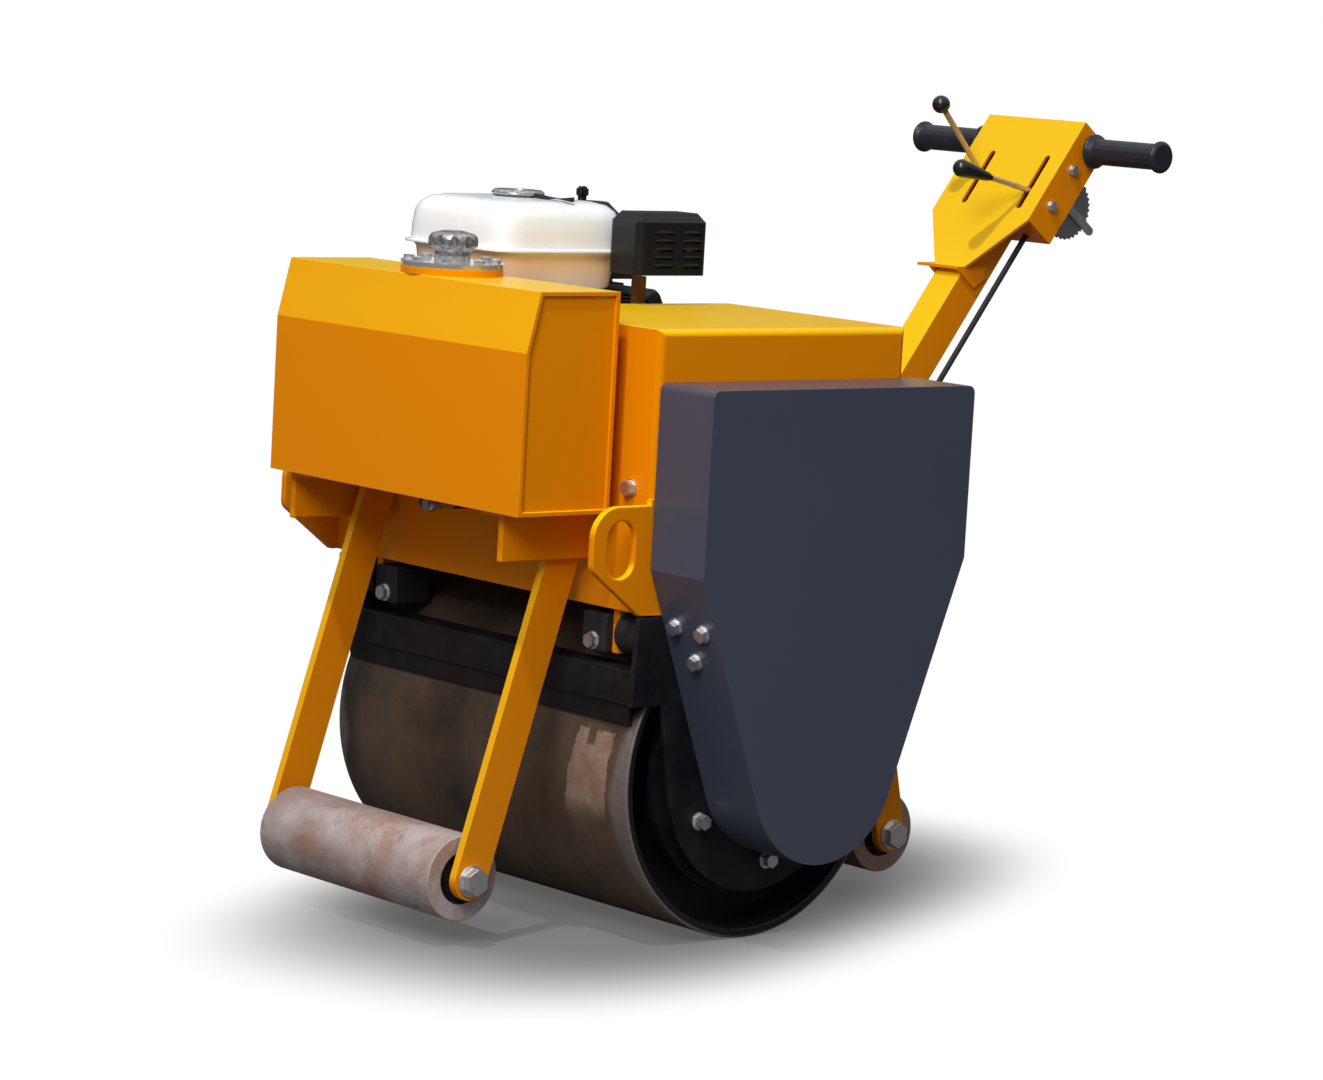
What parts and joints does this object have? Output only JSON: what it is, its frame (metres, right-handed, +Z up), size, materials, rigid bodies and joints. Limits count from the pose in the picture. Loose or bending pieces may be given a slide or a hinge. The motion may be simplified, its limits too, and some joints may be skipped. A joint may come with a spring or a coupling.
{
  "type": "vibratory roller",
  "caption": "Walk-behind vibratory roller: steel drum between support rollers, water tank, petrol engine, covered belt and chain drive, and a leaning console with levers",
  "frame": {"origin": "on the ground, straight under the middle of the drum's axis", "axes": "+X is the chain side, +Y points back to the operator, +Z is up"},
  "size_m": [0.752, 1.2182, 1.0696],
  "materials": {
    "yellow_paint": "gloss",
    "slate_paint": "satin",
    "black_paint": "satin",
    "drum_steel": "worn",
    "roller_steel": "rusty",
    "bright_steel": "zinc plated",
    "machine_steel": "machined",
    "chrome_fittings": "polished",
    "cast_metal": "as cast",
    "engine_alloy": "die cast",
    "mount_rubber": "matt",
    "belt_rubber": "matt",
    "grip_rubber": "matt",
    "hose_rubber": "matt",
    "tank_plastic": "gloss",
    "black_plastic": "matt",
    "knob_plastic": "gloss",
    "starter_paint": "gloss",
    "valve_brass": "plain",
    "grey_paint": "satin",
    "cap_metal": "satin"
  },
  "bodies": {
    "machine": {"deck_plate": "yellow_paint", "side_plate_left": "yellow_paint", "side_plate_right": "yellow_paint", "aprons": "yellow_paint", "front_beams": "yellow_paint", "rear_beams": "yellow_paint", "front_arms": "yellow_paint", "rear_arms": "yellow_paint", "roller_axles": "bright_steel", "carrier_left": "black_paint", "carrier_right": "black_paint", "rubber_mounts": "mount_rubber", "carrier_ties": "black_paint", "scrapers": "black_paint", "bearing_housings": "cast_metal", "water_tank": "yellow_paint", "filler_flange": "chrome_fittings", "water_valve": "valve_brass", "water_hose": "hose_rubber", "spray_pipe": "bright_steel", "hood": "yellow_paint", "side_cover": "slate_paint", "gearbox": "cast_metal", "drive_chain": "machine_steel", "drive_belts": "belt_rubber", "vibration_belt": "belt_rubber", "engine_block": "engine_alloy", "recoil_starter": "starter_paint", "fuel_tank": "tank_plastic", "muffler": "machine_steel", "muffler_guard": "black_paint", "air_cleaner": "black_plastic", "carburettor": "engine_alloy", "handle_column": "yellow_paint", "control_head": "yellow_paint", "handlebar": "bright_steel", "grips": "grip_rubber", "throttle_quadrant": "grey_paint", "control_cable": "hose_rubber", "hex_bolts": "bright_steel"},
    "drum": {"drum_shell": "drum_steel", "drum_hubs": "black_paint", "drum_sprocket": "machine_steel"},
    "exciter": {"exciter_shaft": "machine_steel", "exciter_pulley": "machine_steel"},
    "crank": {"crankshaft": "machine_steel"},
    "line": {"line_shaft": "machine_steel"},
    "gear_in": {"gearbox_input": "machine_steel"},
    "gear_out": {"gearbox_output": "machine_steel"},
    "shifter": {"shift_lever": "bright_steel"},
    "idler": {"idler_arm": "machine_steel"},
    "roller_front": {"front_roller": "roller_steel"},
    "roller_rear": {"rear_roller": "roller_steel"},
    "travel_control": {"travel_lever": "bright_steel"},
    "vibration_control": {"vibration_lever": "bright_steel"},
    "throttle_control": {"throttle_lever": "bright_steel"},
    "filler_cover": {"filler_cap": "cap_metal"},
    "fuel_cover": {"fuel_cap": "cap_metal"},
    "pull_grip": {"starter_grip": "black_plastic"},
    "valve_handle": {"valve_lever": "knob_plastic"}
  },
  "joints": [
    {"name": "drum_spin", "type": "hinge", "parent": "machine", "child": "drum", "pos_m": [0, 0, 0.2125], "axis": [1, 0, 0], "continuous": true},
    {"name": "gearbox_out_spin", "type": "hinge", "parent": "machine", "child": "gear_out", "pos_m": [0.332, 0.078, 0.64], "axis": [1, 0, 0], "continuous": true},
    {"name": "exciter_spin", "type": "hinge", "parent": "machine", "child": "exciter", "pos_m": [0, 0, 0.2125], "axis": [1, 0, 0], "continuous": true},
    {"name": "crank_spin", "type": "hinge", "parent": "machine", "child": "crank", "pos_m": [0, 0, 0.678], "axis": [1, 0, 0], "continuous": true},
    {"name": "line_spin", "type": "hinge", "parent": "machine", "child": "line", "pos_m": [0, -0.092, 0.638], "axis": [1, 0, 0], "continuous": true},
    {"name": "gearbox_in_spin", "type": "hinge", "parent": "machine", "child": "gear_in", "pos_m": [0.092, 0.138, 0.648], "axis": [1, 0, 0], "continuous": true},
    {"name": "front_roller_spin", "type": "hinge", "parent": "machine", "child": "roller_front", "pos_m": [0, -0.368, 0.086], "axis": [1, 0, 0], "continuous": true},
    {"name": "rear_roller_spin", "type": "hinge", "parent": "machine", "child": "roller_rear", "pos_m": [0, 0.35, 0.086], "axis": [1, 0, 0], "continuous": true},
    {"name": "travel_lever_turn", "type": "hinge", "parent": "machine", "child": "travel_control", "pos_m": [-0.045, 0.7005, 0.93783], "axis": [1, 0, 0], "range_deg": [-28, 50]},
    {"name": "shift_lever_turn", "type": "hinge", "parent": "machine", "child": "shifter", "pos_m": [0.18, 0.15, 0.714], "axis": [0, 0, 1], "range_deg": [-14, 25]},
    {"name": "vibration_lever_turn", "type": "hinge", "parent": "machine", "child": "vibration_control", "pos_m": [0.063, 0.7005, 0.93783], "axis": [1, 0, 0], "range_deg": [-70, 12]},
    {"name": "idler_arm_turn", "type": "hinge", "parent": "machine", "child": "idler", "pos_m": [0.36, 0.07, 0.56], "axis": [1, 0, 0], "range_deg": [-25, 4.3]},
    {"name": "throttle_lever_turn", "type": "hinge", "parent": "machine", "child": "throttle_control", "pos_m": [0.063, 0.74637, 0.92244], "axis": [1, 0, 0], "range_deg": [-60, 60]},
    {"name": "valve_lever_turn", "type": "hinge", "parent": "machine", "child": "valve_handle", "pos_m": [-0.016, -0.307, 0.531], "axis": [1, 0, 0], "range_deg": [-90, 0]},
    {"name": "filler_cap_lift", "type": "slide", "parent": "machine", "child": "filler_cover", "axis": [0, 0, 1], "range_m": [0, 0.08]},
    {"name": "fuel_cap_lift", "type": "slide", "parent": "machine", "child": "fuel_cover", "axis": [0, 0, 1], "range_m": [0, 0.06]},
    {"name": "starter_pull", "type": "slide", "parent": "machine", "child": "pull_grip", "axis": [0, -1, 0], "range_m": [0, 0.08], "stiffness_N_per_m": 60}
  ],
  "couplings": [
    {"joint": "gearbox_out_spin", "follows": "drum_spin", "ratio": 2.25},
    {"joint": "crank_spin", "follows": "exciter_spin", "ratio": 1.04},
    {"joint": "line_spin", "follows": "exciter_spin", "ratio": 1.04},
    {"joint": "gearbox_in_spin", "follows": "exciter_spin", "ratio": 0.68073},
    {"joint": "shift_lever_turn", "follows": "travel_lever_turn", "ratio": 0.5},
    {"joint": "idler_arm_turn", "follows": "vibration_lever_turn", "ratio": 0.35714}
  ]
}
